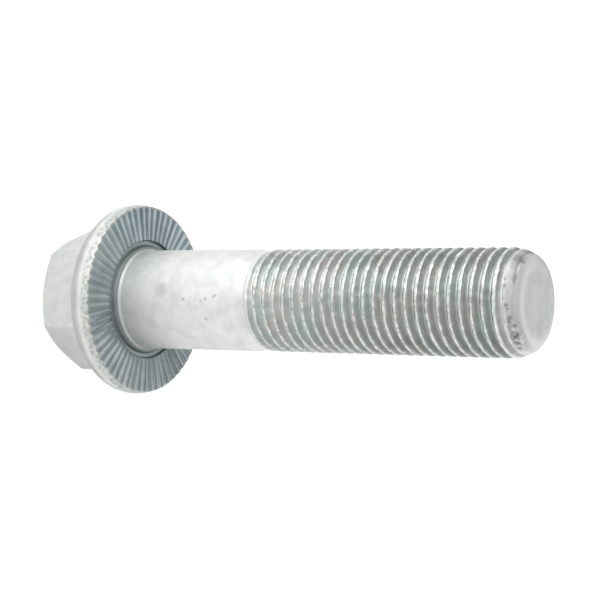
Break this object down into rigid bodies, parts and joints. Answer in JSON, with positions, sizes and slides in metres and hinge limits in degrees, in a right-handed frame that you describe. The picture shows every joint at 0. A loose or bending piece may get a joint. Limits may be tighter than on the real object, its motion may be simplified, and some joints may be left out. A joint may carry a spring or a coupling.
{
  "type": "propeller shaft bolt",
  "caption": "Hexagon flange bolt with a part-threaded shank and ribs under the flange, for a propeller shaft's flanged joint.",
  "frame": {"origin": "centre of the flat top of the head, which the bolt stands on", "axes": "+Z along the bolt, from the head towards the tip of the thread; +X through an edge of the hexagon"},
  "size_m": [0.027, 0.027, 0.0719],
  "materials": {
    "zinc_plate": "bright zinc plate with a clear blue passivation, over forged and rolled steel"
  },
  "bodies": {
    "root": {"bolt": "zinc_plate"}
  },
  "joints": []
}
